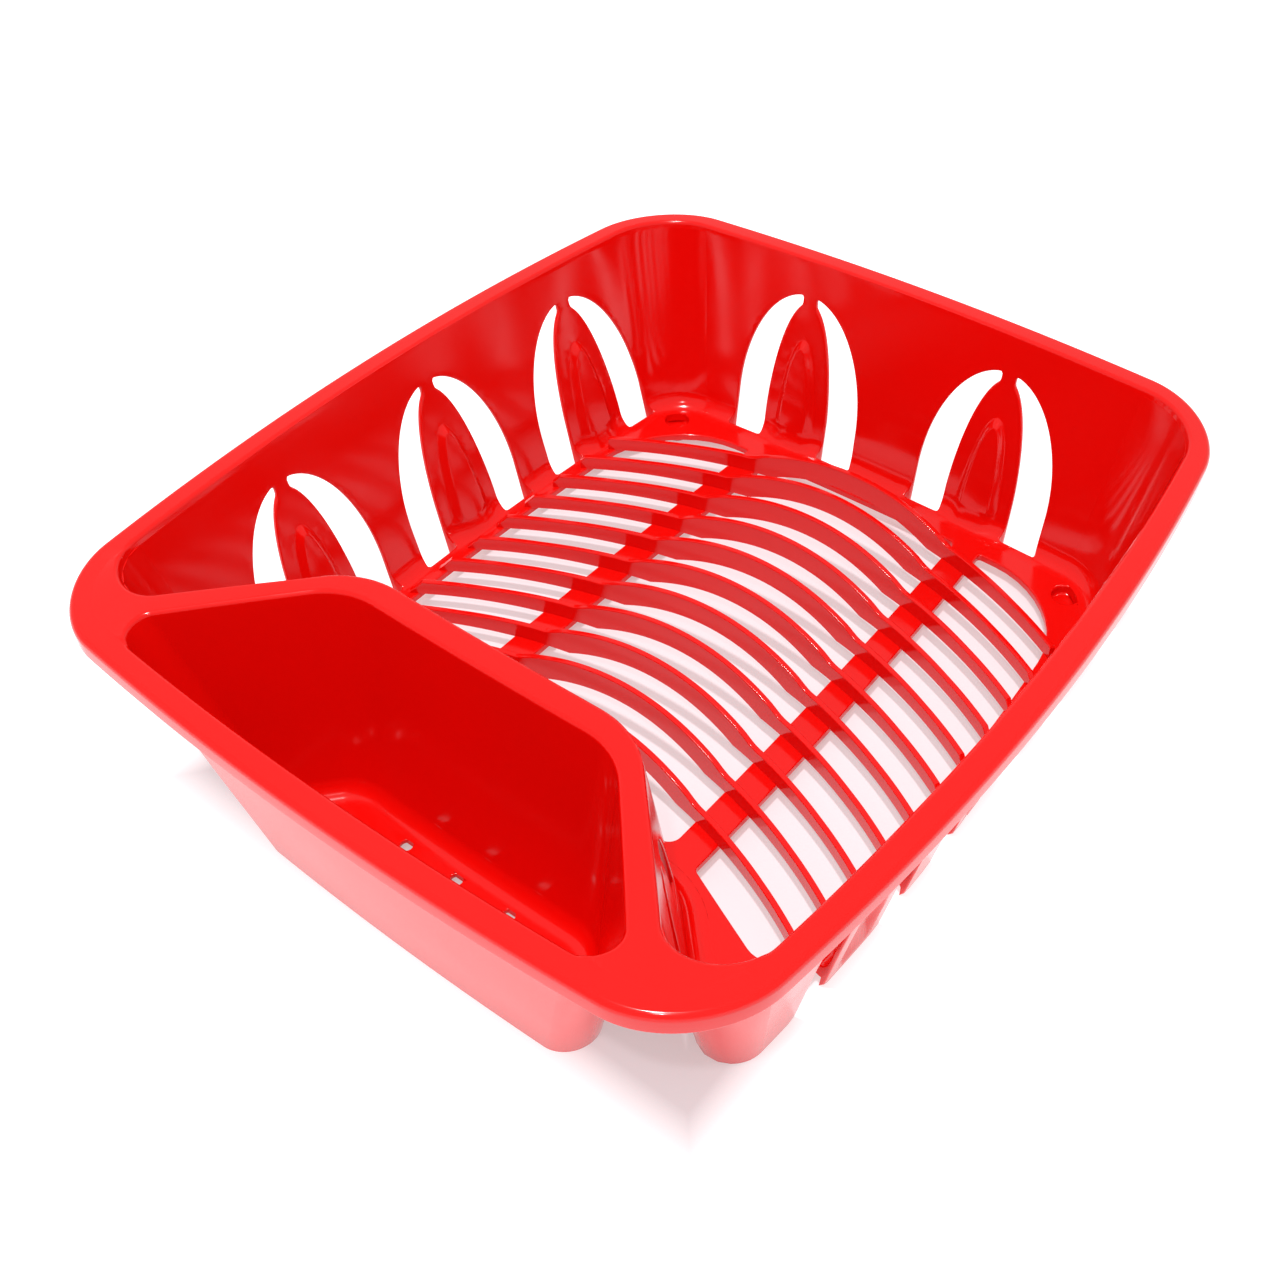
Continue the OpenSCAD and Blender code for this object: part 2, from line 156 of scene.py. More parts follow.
class Ring:
    """An outline whose vertices and radii run from a head level (0) to a foot level (1)."""

    def __init__(self, head, foot=None):
        self.head = head
        self.foot = head if foot is None else foot
        self.n = len(head)

    def corner(self, i, level):
        """Centre, start vector, turn and radius of corner i at these levels."""
        level = np.atleast_1d(level)[:, None]
        at = [self.head[k % self.n] + (self.foot[k % self.n] - self.head[k % self.n]) * level
              for k in (i - 1, i, i + 1)]
        a, p, b = (q[:, :2] for q in at)
        r = at[1][:, 2:]
        da, db = unit(a - p), unit(b - p)
        half = np.arccos(np.clip((da * db).sum(1, keepdims=True), -1, 1)) / 2
        centre = p + unit(da + db) * r / np.sin(half)
        first = p + da * r / np.tan(half) - centre
        last = p + db * r / np.tan(half) - centre
        cross = first[:, 0] * last[:, 1] - first[:, 1] * last[:, 0]
        turn = np.arctan2(cross, (first * last).sum(1))
        return centre, first, turn, r[:, 0]

    def ends(self, seg, level):
        """First and last point of a segment: even ones are corners, odd ones sides."""
        if seg % 2 == 0:
            return self.point(seg, 0.0, level), self.point(seg, 1.0, level)
        return self.point(seg - 1, 1.0, level), self.point(seg + 1, 0.0, level)

    def point(self, seg, frac, level, offset=0.0):
        """Plan point at a fraction of a segment, moved outward by offset."""
        level, frac, offset = np.broadcast_arrays(np.atleast_1d(level), frac, offset)
        seg = seg % (2 * self.n)
        if seg % 2 == 0:
            centre, first, turn, r = self.corner(seg // 2, level)
            a = turn * frac
            c, s = np.cos(a), np.sin(a)
            arm = np.stack([first[:, 0] * c - first[:, 1] * s, first[:, 0] * s + first[:, 1] * c], 1)
            return centre + arm * (1 + np.sign(turn) * offset / r)[:, None]
        a, b = self.ends(seg, level)
        d = unit(b - a)
        return a + (b - a) * frac[:, None] + np.stack([d[:, 1], -d[:, 0]], 1) * offset[:, None]

    def length(self, seg, level):
        if seg % 2 == 0:
            _, _, turn, r = self.corner((seg % (2 * self.n)) // 2, level)
            return np.abs(turn) * r
        a, b = self.ends(seg, level)
        return np.linalg.norm(b - a, axis=1)

    def samples(self, step, level=0.0, arc_steps=24):
        """(segment, fraction) pairs round the whole ring, the same for every level."""
        out = []
        for seg in range(2 * self.n):
            n = arc_steps if seg % 2 == 0 else max(1, round(float(self.length(seg, level)[0]) / step))
            out += [(seg, k / n) for k in range(n)]
        return out

    def trace(self, samples, level, offset=0.0):
        """Bowed plan points of the samples."""
        return np.array([bow(self.point(seg, frac, level, offset))[0] for seg, frac in samples])


basin = Ring(BASIN_HEAD, BASIN_FOOT)
pocket = Ring(POCKET_HEAD, POCKET_FOOT)
rim = Ring(RIM)


def basin_level(z):
    return (HEIGHT - np.asarray(z, float)) / (HEIGHT - FLOOR_TOP)


def pocket_level(z):
    return (HEIGHT - np.asarray(z, float)) / (HEIGHT - POCKET_FLOOR)


# ---- mesh helpers ----
MERGE_GAP = 0.004
SLIVER = 0.001
SHARP_DEG = 38.0
CDT_GAP = 1e-5


class Shell:
    """Vertex blocks and faces of a piece while it is put together."""

    def __init__(self):
        self.blocks = []
        self.faces = []
        self.count = 0

    def add(self, block):
        """Store a block of vertices and return the number of its first one."""
        first = self.count
        self.blocks.append(block)
        self.count += len(block)
        return first

    def sheets(self, front, back, tris):
        """Two sheets over the same triangles, facing away from each other."""
        self.add(front)
        n = self.add(back)
        self.faces += [tuple(t) for t in tris]
        self.faces += [(t[2] + n, t[1] + n, t[0] + n) for t in tris]
        return n

    def join(self, chain, count):
        """Bands of faces between closed rings, given by their first vertices."""
        for a, b in zip(chain, chain[1:]):
            self.faces += [(a + i, a + (i + 1) % count, b + (i + 1) % count, b + i) for i in range(count)]

    def piece(self, name, nodes, scale=(1, 1, 1)):
        add_piece(name, np.vstack(self.blocks) * scale, self.faces, nodes)


def add_piece(name, verts, faces, nodes):
    """A smooth-shaded closed mesh that stands for some CAD nodes."""
    bm = bmesh.new()
    for v in verts:
        bm.verts.new(v)
    bm.verts.ensure_lookup_table()
    for f in faces:
        if len(set(f)) == len(f):
            bm.faces.new([bm.verts[int(i)] for i in f])
    bmesh.ops.remove_doubles(bm, verts=bm.verts, dist=MERGE_GAP)
    bmesh.ops.dissolve_degenerate(bm, edges=bm.edges, dist=SLIVER)
    bmesh.ops.recalc_face_normals(bm, faces=bm.faces)
    bmesh.ops.scale(bm, vec=(MM, MM, MM), verts=bm.verts)
    mesh = bpy.data.meshes.new(name)
    bm.to_mesh(mesh)
    bm.free()
    mesh.shade_smooth()
    mesh.set_sharp_from_angle(angle=math.radians(SHARP_DEG))
    obj = bpy.data.objects.new(name, mesh)
    bpy.context.scene.collection.objects.link(obj)
    obj.data.materials.append(RED)
    weighted = obj.modifiers.new("flat_faces_stay_flat", "WEIGHTED_NORMAL")
    weighted.keep_sharp = True
    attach(obj, "root")
    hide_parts(*nodes)


def inside(points, loop):
    """Which points lie inside a closed loop."""
    hit = np.zeros(len(points), bool)
    near = ((points >= loop.min(0)) & (points <= loop.max(0))).all(1)
    px, py = points[near].T
    odd = np.zeros(near.sum(), bool)
    for (x0, y0), (x1, y1) in zip(loop, np.roll(loop, -1, 0)):
        if y0 == y1:
            continue
        crosses = ((y0 > py) != (y1 > py)) & (px < (x1 - x0) * (py - y0) / (y1 - y0) + x0)
        odd ^= crosses
    hit[near] = odd
    return hit


def nearest(points, others):
    """Distance from each point to the nearest of the others."""
    tree = KDTree(len(others))
    for i, p in enumerate(others):
        tree.insert((p[0], p[1], 0), i)
    tree.balance()
    return np.array([tree.find((p[0], p[1], 0))[2] for p in points])


def far_from(points, others, gap):
    """Which points are more than gap from every one of the others."""
    return nearest(points, others) > gap


def resampled(loop, step):
    """A closed loop at an even spacing."""
    closed = np.vstack([loop, loop[:1]])
    run = np.r_[0, np.cumsum(np.linalg.norm(np.diff(closed, axis=0), axis=1))]
    n = max(8, round(run[-1] / step))
    at = np.linspace(0, run[-1], n, endpoint=False)
    return np.stack([np.interp(at, run, closed[:, 0]), np.interp(at, run, closed[:, 1])], 1)


def softened(loop, sigma, step=0.3):
    """A closed loop with its corners rounded off by a moving average."""
    fine = resampled(loop, step)
    reach = int(3 * sigma / step)
    k = np.exp(-0.5 * (np.arange(-reach, reach + 1) * step / sigma) ** 2)
    k /= k.sum()
    return sum(w * np.roll(fine, j - reach, 0) for j, w in enumerate(k))


def outward(loop, d):
    """A closed loop grown by d."""
    t = unit(np.roll(loop, -1, 0) - np.roll(loop, 1, 0))
    x, y = loop[:, 0], loop[:, 1]
    turns = np.sum(x * np.roll(y, -1) - np.roll(x, -1) * y)
    return loop + np.stack([t[:, 1], -t[:, 0]], 1) * d * np.sign(turns)


def quarter(r, steps):
    """(inset, drop) pairs round a quarter circle of radius r, from the side to the flat."""
    return [(r * (1 - math.cos(a)), r * (1 - math.sin(a))) for a in np.linspace(0, math.pi / 2, steps + 1)]


def spans(loops):
    """(first, count) of every loop when they are stacked one after another."""
    out = []
    first = 0
    for loop in loops:
        out.append((first, len(loop)))
        first += len(loop)
    return out


def triangulated(points, loops):
    """Delaunay triangles of 2D points, inside the first loop and outside the others."""
    edges = []
    for first, n in loops:
        edges += [(first + k, first + (k + 1) % n) for k in range(n)]
    _, _, faces, origin, _, _ = delaunay_2d_cdt([Vector(p) for p in points], edges, [], 0, CDT_GAP)
    source = np.array([o[0] if o else -1 for o in origin])
    tris = source[np.array(faces)]
    tris = tris[(tris >= 0).all(1)]
    middle = points[tris].mean(1)
    first, count = loops[0]
    keep = inside(middle, points[first:first + count])
    for first, count in loops[1:]:
        keep &= ~inside(middle, points[first:first + count])
    return tris[keep]


# ---- the plastic ----
BRIGHT_RED = (0.78, 0.0022, 0.0012, 1)
DEEP_RED = (0.72, 0.0030, 0.0016, 1)


def red_plastic():
    """Glossy red polypropylene: even colour, a soft orange-peel surface and uneven gloss."""
    mat = bpy.data.materials.new("red_plastic")
    mat.use_nodes = True
    nodes, links = mat.node_tree.nodes, mat.node_tree.links
    shader = nodes["Principled BSDF"]
    coords = nodes.new("ShaderNodeTexCoord")

    def noise(scale, detail):
        n = nodes.new("ShaderNodeTexNoise")
        n.inputs["Scale"].default_value = scale
        n.inputs["Detail"].default_value = detail
        links.new(coords.outputs["Object"], n.inputs["Vector"])
        return n.outputs["Fac"]

    def ramp(source, low, high, to):
        r = nodes.new("ShaderNodeMapRange")
        r.inputs["From Min"].default_value = 0.3
        r.inputs["From Max"].default_value = 0.7
        r.inputs["To Min"].default_value = low
        r.inputs["To Max"].default_value = high
        links.new(source, r.inputs["Value"])
        links.new(r.outputs["Result"], to)

    mix = nodes.new("ShaderNodeMix")
    mix.data_type = "RGBA"
    mix.inputs["A"].default_value = BRIGHT_RED
    mix.inputs["B"].default_value = DEEP_RED
    ramp(noise(9.0, 3.0), 0.0, 1.0, mix.inputs["Factor"])
    links.new(mix.outputs["Result"], shader.inputs["Base Color"])
    ramp(noise(38.0, 5.0), 0.09, 0.17, shader.inputs["Roughness"])
    shader.inputs["IOR"].default_value = 1.49
    shader.inputs["Specular IOR Level"].default_value = 0.4
    bump = nodes.new("ShaderNodeBump")
    bump.inputs["Strength"].default_value = 0.02
    bump.inputs["Distance"].default_value = 0.0004
    links.new(noise(420.0, 2.0), bump.inputs["Height"])
    links.new(bump.outputs["Normal"], shader.inputs["Normal"])
    return mat


RED = red_plastic()


# ---- swept shells: profile stations carried round a ring ----
def swept(ring_points, closed_profile=True):
    """Vertices and faces of a grid of rings [profile step][sample] of 3D points."""
    rings = np.array(ring_points)
    n_prof, n = rings.shape[:2]
    faces = []
    for j in range(n_prof if closed_profile else n_prof - 1):
        here, there = j * n, (j + 1) % n_prof * n
        for i in range(n):
            after = (i + 1) % n
            faces.append((here + i, here + after, there + after, there + i))
    return rings.reshape(-1, 3), faces


def at_height(plan, z):
    return np.column_stack([plan, np.full(len(plan), float(z))])


# ---- floor slots, bars and the edges that the walls share with the floor ----
def drop(r, y):
    return r - math.sqrt(r * r - y * y)


def rounded_loop(corners, steps=10):
    """A closed plan loop, straight sides and rounded corners, in u and v."""
    ring = Ring(np.array(corners, float))
    pts = []
    for seg in range(2 * ring.n):
        count = steps if seg % 2 == 0 else max(2, round(float(ring.length(seg, 0.0)[0]) / 3.0))
        pts += [ring.point(seg, k / count, 0.0)[0] for k in range(count)]
    return np.array(pts)


def mirror_corners(corners):
    return [(u, -v, r) for u, v, r in reversed(corners)]


BAR_IN = BAR_Y - BAR_W / 2
BAR_OUT = BAR_Y + BAR_W / 2
MIDDLE = [(171, BAR_IN, 3), (-70, BAR_IN, 6), (-70, -BAR_IN, 6), (171, -BAR_IN, 3)]
OUTER = [(171, BAR_OUT, 2), (171.5, 135, 48), (-101, 134, 12), (-74, BAR_OUT, 3)]

middle_open = bow(rounded_loop(MIDDLE))
outer_left_open = bow(rounded_loop(OUTER))
outer_right_open = bow(rounded_loop(mirror_corners(OUTER)))
OPENINGS = [middle_open, outer_left_open, outer_right_open]


# ---- wall panels: s runs along the wall, w up it; w = 0 is the top of the foot fillet ----
FILLET_W = FOOT_ROUND * math.pi / 2
FLAT_RUN = 0.8
W_END = -FILLET_W - FLAT_RUN
W_BITE = -FOOT_ROUND * (math.pi / 2 - math.asin(1 - ARCH_BITE / FOOT_ROUND))
W_SPRING = ARCH_SPRING - FLOOR_TOP - FOOT_ROUND
W_TOP = LIP_END - FLOOR_TOP - FOOT_ROUND
UNDER = FLOOR_TOP - PLATE
PLATE_JOG = 1.0
# outer face and underside, as (w, offset, z) going down the back of the wall
BACK_PATH = np.array([
    (W_TOP, WALL, LIP_END),
    (W_SPRING, WALL, ARCH_SPRING),
    (W_SPRING * WALL / (ARCH_SPRING + WALL), WALL, 0.0),
    (0.0, 0.0, 0.0),
    (-PLATE_JOG, 0.0, UNDER),
    (W_BITE, -ARCH_BITE, UNDER),
    (W_END, -FOOT_ROUND - FLAT_RUN, UNDER),
])[::-1]
PANEL_STEP = 5.0
FILLET_ROWS = 8
LOW_ROWS = (3.0, 6.5)
WALL_ROWS = 17
EDGE_STEPS = 3
# closest that a free mesh point may come to an edge, and to a pad's own points
POINT_GAP = 1.0
PAD_GAP = 1.6
PAD_GRID_FROM = 0.5
# rings of a pad's slope from its base (0) to its face (1), and the points on each
PAD_RINGS = (0.0, 0.12, 0.3, 0.6, 0.85, 1.0, 1.15)
PAD_STEPS = 56
PAD_TIP = 0.03
PAD_CLEAR = 0.6
# slots: points up each side, rounding of the corners, spacing of the finished loop
SLOT_STEPS_IN = 60
SLOT_STEPS_OUT = 80
SLOT_SOFT = 1.0
SLOT_STEP = 1.3


def smooth(t):
    t = np.clip(t, 0, 1)
    return t * t * (3 - 2 * t)


def half_width(z, wide, spring, top):
    """Half width at height z of an arch: upright up to its spring, then half an ellipse."""
    up = np.clip((z - spring) / (top - spring), 0, 1)
    return wide * np.sqrt(1 - up * up)


def tongue_z(x, narrow):
    return TONGUE_SPRING + (TONGUE_TOP - TONGUE_SPRING) * math.sqrt(1 - (x / narrow) ** 2)


def arch_z(x, wide):
    return ARCH_SPRING + (ARCH_TOP - ARCH_SPRING) * math.sqrt(1 - (x / wide) ** 2)


def flare(z):
    """Openings widen a little where they run down into the foot fillet."""
    return FOOT_FLARE * np.clip((FLOOR_TOP + FOOT_ROUND - z) / FOOT_ROUND, 0, 1) ** 2


def pad_depth(x, z):
    """How far a pad pushes the sheet inward at x across its tongue and z up."""
    up = np.maximum(z - FLOOR_TOP, 0)
    base = np.hypot(x / PAD_BASE[0], up / PAD_BASE[1])
    face = np.hypot(x / (PAD_BASE[0] - PAD_FLANK), up / (PAD_BASE[1] - PAD_FLANK))
    t = np.clip(1 - base, 0, None) / (np.clip(1 - base, 0, None) + np.clip(face - 1, 0, None) + 1e-9)
    soft = 0.6 * t + 0.4 * smooth(t)
    return PAD_DEPTH * soft * smooth((z - FLOOR_TOP + 4.0) / 6.0)


class Panel:
    """A side of the basin with the corners next to it, as one sheet with a front and a back."""

    def __init__(self, side, origin, before, after, span, arches=()):
        self.side = side
        self.origin = np.array(origin, float)
        self.before = before
        self.after = after
        self.lo, self.hi = span
        self.arches = arches
        a, b, la, lb = self.frame(np.array([0.5]))[:4]
        self.s0 = float((a - la * before)[0])
        self.s1 = float((b + lb * after)[0])

    def frame(self, level):
        """Ends of the straight run and the corner lengths beside it, from the origin, per level."""
        a = basin.point(2 * self.side, 1.0, level)
        b = basin.point(2 * self.side + 2, 0.0, level)
        d = unit(b - a)
        pa = ((a - self.origin) * d).sum(1)
        pb = ((b - self.origin) * d).sum(1)
        return pa, pb, basin.length(2 * self.side, level), basin.length(2 * self.side + 2, level)

    def place(self, s, z, off):
        """3D points at s along the wall, at height z and offset outward."""
        level = basin_level(z)
        pa, pb, la, lb = self.frame(level)
        lo_end = pa - la * self.before
        hi_end = pb + lb * self.after
        p = s.copy()
        m = s < self.lo
        p[m] = self.lo + (s[m] - self.lo) / (self.lo - self.s0) * (self.lo - lo_end[m])
        m = s > self.hi
        p[m] = self.hi + (s[m] - self.hi) / (self.s1 - self.hi) * (hi_end[m] - self.hi)
        plan = np.empty((len(s), 2))
        runs = [
            (p < pa, 2 * self.side, 1 - (pa - p) / la),
            (p > pb, 2 * self.side + 2, (p - pb) / lb),
            ((p >= pa) & (p <= pb), 2 * self.side + 1, (p - pa) / (pb - pa)),
        ]
        for m, seg, frac in runs:
            if m.any():
                plan[m] = basin.point(seg, frac[m], level[m], off[m])
        return np.column_stack([bow(plan), z])

    def pads(self, s, z):
        total = np.zeros(len(s))
        for arch in self.arches:
            if arch["pad"]:
                total = np.maximum(total, pad_depth((s - arch["s"]) / arch["stretch"] - arch["lean"] * z, z))
        return total

    def front(self, s, w, depth):
        a = np.clip(math.pi / 2 + np.minimum(w, 0) / FOOT_ROUND, 0, math.pi / 2)
        z = FLOOR_TOP + FOOT_ROUND * (1 - np.cos(a)) + np.maximum(w, 0)
        off = -FOOT_ROUND * (1 - np.sin(a)) - np.maximum(-FILLET_W - w, 0)
        push = self.pads(s, z) * np.sin(a)
        return self.place(s, z - depth * np.cos(a), off + depth * np.sin(a) - push)

    def back(self, s, w, depth):
        off = np.interp(w, BACK_PATH[:, 0], BACK_PATH[:, 1])
        z = np.interp(w, BACK_PATH[:, 0], BACK_PATH[:, 2])
        under = w < -PLATE_JOG
        z = np.where(under, z + depth, z)
        wall_face = w > BACK_PATH[4, 0]
        off = np.where(wall_face, off - depth, off)
        return self.place(s, z, off - self.pads(s, z) * wall_face)

    def crescents(self):
        """Hole loops either side of every tongue."""
        loops = []
        for arch in self.arches:
            k = arch["shrink"]
            wide, narrow = ARCH_HALF * k, TONGUE_HALF * k
            low = max(arch["from_z"], W_BITE + FLOOR_TOP + FOOT_ROUND)
            for hand in (-1, 1):
                z_in = np.linspace(low, tongue_z(NECK_HALF, narrow), SLOT_STEPS_IN)
                z_out = np.linspace(arch_z(NECK_HALF, wide), low, SLOT_STEPS_OUT)
                x = np.r_[half_width(z_in, narrow, TONGUE_SPRING, TONGUE_TOP) - flare(z_in) / 2,
                          half_width(z_out, wide, ARCH_SPRING, ARCH_TOP) + flare(z_out)]
                z = np.r_[z_in, z_out]
                s = arch["s"] + arch["stretch"] * (hand * x + arch["lean"] * z)
                loop = np.column_stack([s, z - FLOOR_TOP - FOOT_ROUND])
                loops.append(resampled(softened(loop, SLOT_SOFT), SLOT_STEP))
        return loops

    def pad_points(self):
        out = []
        for arch in self.arches:
            if not arch["pad"]:
                continue
            for t in PAD_RINGS:
                half = PAD_BASE[0] - PAD_FLANK * t
                high = PAD_BASE[1] - PAD_FLANK * t
                a = np.linspace(PAD_TIP, math.pi - PAD_TIP, PAD_STEPS)
                z = FLOOR_TOP + high * np.sin(a)
                x = half * np.cos(a)
                s = arch["s"] + arch["stretch"] * (x + arch["lean"] * z)
                keep = z > FLOOR_TOP + FOOT_ROUND + PAD_CLEAR
                out.append(np.column_stack([s, z - FLOOR_TOP - FOOT_ROUND])[keep])
        return np.vstack(out) if out else np.zeros((0, 2))

    def build(self, name, nodes, scale=(1, 1, 1)):
        rows = np.r_[W_END, np.linspace(-FILLET_W, -PLATE_JOG, FILLET_ROWS), BACK_PATH[3:5, 0], LOW_ROWS,
                     np.linspace(W_SPRING, W_TOP, WALL_ROWS)]
        n_cols = max(4, round((self.s1 - self.s0) / PANEL_STEP))
        cols = np.linspace(self.s0, self.s1, n_cols + 1)
        edge = np.vstack([
            np.column_stack([cols[:-1], np.full(n_cols, W_END)]),
            np.column_stack([np.full(len(rows) - 1, self.s1), rows[:-1]]),
            np.column_stack([cols[:0:-1], np.full(n_cols, W_TOP)]),
            np.column_stack([np.full(len(rows) - 1, self.s0), rows[:0:-1]])])
        holes = self.crescents()
        rims = [outward(h, EDGE_ROUND) for h in holes]
        taken = np.vstack([edge] + rims)
        grid = np.array([(s, w) for s in cols[1:-1] for w in rows[1:-1]])
        pads = self.pad_points()
        if len(pads):
            pads = pads[far_from(pads, taken, POINT_GAP)]
            grid = grid[far_from(grid, pads, PAD_GAP) | (grid[:, 1] < PAD_GRID_FROM)]
        grid = grid[far_from(grid, taken, POINT_GAP)]
        for rim_loop in rims:
            grid = grid[~inside(grid, rim_loop)]
        points = np.vstack([edge] + rims + [pads, grid])
        loops = spans([edge] + rims)
        flush = np.zeros(len(points))
        s, w = points.T
        shell = Shell()
        n = shell.sheets(self.front(s, w, flush), self.back(s, w, flush), triangulated(points, loops))
        shell.join([0, n], len(edge))
        rounding = quarter(EDGE_ROUND, EDGE_STEPS)
        for (first, count), hole in zip(loops[1:], holes):
            chain = [first]
            for inset, sink in rounding[-2::-1]:
                ring = outward(hole, inset)
                chain.append(shell.add(self.front(ring[:, 0], ring[:, 1], np.full(count, sink))))
            for inset, sink in rounding[:-1]:
                ring = outward(hole, inset)
                chain.append(shell.add(self.back(ring[:, 0], ring[:, 1], np.full(count, sink))))
            shell.join(chain + [first + n], count)
        shell.piece(name, nodes, scale)


def arch(s, lean_deg, stretch, pad=True, shrink=1.0, from_z=0.0):
    return {"s": s, "lean": math.tan(math.radians(lean_deg)), "stretch": stretch,
            "pad": pad, "shrink": shrink, "from_z": from_z}


SIDE_STRETCH = 1.032
FAR_STRETCH = 1.087
DIAGONAL_STRETCH = 1.025
FIRST_ARCH_U = -65.0
ARCH_PITCH = 98.4
SIDE_LEAN = 3.0
FAR_ARCH_Y = 60.5
FAR_LEAN = 1.3
side_arches = [arch(-FIRST_ARCH_U - ARCH_PITCH * i, SIDE_LEAN, SIDE_STRETCH) for i in range(3)]
far_arches = [arch(side * FAR_ARCH_Y, side * FAR_LEAN, FAR_STRETCH) for side in (1, -1)]
diagonal_arch = arch(0.0, 0.0, DIAGONAL_STRETCH, pad=False, shrink=DIAGONAL_SHRINK, from_z=DIAGONAL_FROM)
diagonal_mid = (BASIN_FOOT[1, :2] + BASIN_FOOT[2, :2]) / 2

left_wall = Panel(0, (0, BASIN_FOOT[0, 1]), 1, 0, (-175, 112), side_arches)
diagonal_wall = Panel(1, diagonal_mid, 1, 1, (-33, 33), [diagonal_arch])
divider_wall = Panel(2, (BASIN_FOOT[2, 0], 0), 0, 0, (-10, 10))
far_wall = Panel(5, (BASIN_FOOT[0, 0], 0), 0, 0, (-105, 105), far_arches)

for hand, scale in (("left", (1, 1, 1)), ("right", (1, -1, 1))):
    side_nodes = ["wall_" + hand, "corner_far_" + hand] + ["tongue_%s_%d" % (hand, i) for i in (1, 2, 3)]
    near_nodes = ["wall_diagonal_" + hand, "corner_near_" + hand, "tongue_diagonal_" + hand]
    left_wall.build("wall_%s_moulded" % hand, side_nodes, scale)
    diagonal_wall.build("wall_near_%s_moulded" % hand, near_nodes, scale)
divider_wall.build("wall_divider_moulded", ["wall_divider"])
far_wall.build("wall_far_moulded", ["wall_far", "tongue_far_left", "tongue_far_right"])


# ---- flat plates with rounded openings ----
def plate(name, outline_top, openings, z_top, z_bottom, edge, nodes):
    """A flat plate whose openings have edges rounded top and bottom; edge lists each opening's radius."""
    outlines = [outline_top] + [outward(o, r) for o, r in zip(openings, edge)]
    plan = np.vstack(outlines)
    loops = spans(outlines)
    shell = Shell()
    n = shell.sheets(at_height(plan, z_top), at_height(plan, z_bottom), triangulated(plan, loops))
    shell.join([0, n], len(outline_top))
    for (first, count), hole, r in zip(loops[1:], openings, edge):
        chain = [first]
        if r > 0:
            steps = quarter(r, EDGE_STEPS)
            for inset, sink in steps[-2::-1]:
                chain.append(shell.add(at_height(outward(hole, inset), z_top - sink)))
            for inset, sink in steps[:-1]:
                chain.append(shell.add(at_height(outward(hole, inset), z_bottom + sink)))
        shell.join(chain + [first + n], count)
    shell.piece(name, nodes)


def circle(centre, r, count=48):
    a = np.linspace(0, 2 * math.pi, count, endpoint=False)
    return np.column_stack([centre[0] + r * np.cos(a), centre[1] + r * np.sin(a)])


basin_samples = basin.samples(4.0, 0.5, 30)
floor_edge = basin.trace(basin_samples, 1.0, -FOOT_ROUND - FLAT_RUN)
foot_rings = [circle(p, FOOT_R + FOOT_WALL) for p in FOOT_PLACES]
plate("floor_moulded", floor_edge, OPENINGS + foot_rings, FLOOR_TOP, UNDER,
      [EDGE_ROUND] * 3 + [0.0] * 4, ["floor_plate", "bar_left", "bar_right"])


# ---- feet: a cup under each dimple ----
CUP_LIP = 1.1
CUP_BOWL = 1.6
CUP_CHAMFER = 0.6
CUP_CENTRE_R = 0.02


def lathe(name, centre, profile, nodes, count=48):
    rings = [at_height(circle(centre, max(r, CUP_CENTRE_R), count), z) for r, z in profile]
    verts, faces = swept(rings, closed_profile=False)
    last = (len(profile) - 1) * count
    faces.append(tuple(range(count)))
    faces.append(tuple(range(last, last + count))[::-1])
    add_piece(name, verts, faces, nodes)


cup_outside = FOOT_R + FOOT_WALL
cup_lip = [(FOOT_R + inset, FLOOR_TOP - sink) for inset, sink in quarter(CUP_LIP, 4)]
cup_bowl = [(FOOT_R - CUP_BOWL * (1 - math.sin(a)), FOOT_BASE + CUP_BOWL * (1 - math.cos(a)))
            for a in np.linspace(0, math.pi / 2, 5)]
cup_skirt = [(cup_outside - CUP_CHAMFER, 0), (cup_outside, CUP_CHAMFER), (cup_outside, FLOOR_TOP)]
for foot_name, place in zip(FOOT_NAMES, FOOT_PLACES):
    lathe(foot_name + "_cup", place, cup_skirt + cup_lip[::-1] + cup_bowl[::-1], [foot_name])


# ---- ribs ----
CREST_RADIUS = 166.0
BELLY_RADIUS = 131.0
BELLY_HALF = 48.0
SHOULDER_FROM = 52.0
SHOULDER_TO = 66.0
SHOULDER_H = 8.6
SHOULDER_FALL = 1.5
SHOULDER_RUN = 38.0
FADE_FROM = 133.0
SINK = 0.3
RIB_EDGE = 0.55
RIB_STEPS = 70
RIB_INTO_WALL = 1.2
RIB_KINK = 0.01


def rib_top(y):
    y = abs(y)
    crest = RIB_CREST - drop(CREST_RADIUS, min(y, SHOULDER_TO))
    low = SHOULDER_H - SHOULDER_FALL * min(max((y - SHOULDER_TO) / SHOULDER_RUN, 0.0), 1.0)
    if y > FADE_FROM:
        return FLOOR_TOP + low * max(0.0, 1 - (y - FADE_FROM) / (RIB_END_Y - FADE_FROM))
    if y < SHOULDER_FROM:
        return FLOOR_TOP + crest
    t = (1 - math.cos(math.pi * (y - SHOULDER_FROM) / (SHOULDER_TO - SHOULDER_FROM))) / 2
    return FLOOR_TOP + (crest + (low - crest) * t if y < SHOULDER_TO else low)


def rib_bottom(y):
    rise = drop(BELLY_RADIUS, BELLY_HALF) - drop(BELLY_RADIUS, min(abs(y), BELLY_HALF))
    return FLOOR_TOP - SINK + rise


def rib_section(y):
    """(across, z) round the rib's section, with its top edges rounded."""
    half = RIB_THICK / 2
    low = rib_bottom(y)
    top = max(rib_top(y), low + 2 * RIB_EDGE)
    right = [(half - inset, top - sink) for inset, sink in quarter(RIB_EDGE, EDGE_STEPS)]
    left = [(-a, z) for a, z in right[::-1]]
    return [(-half, low), (half, low)] + right + left


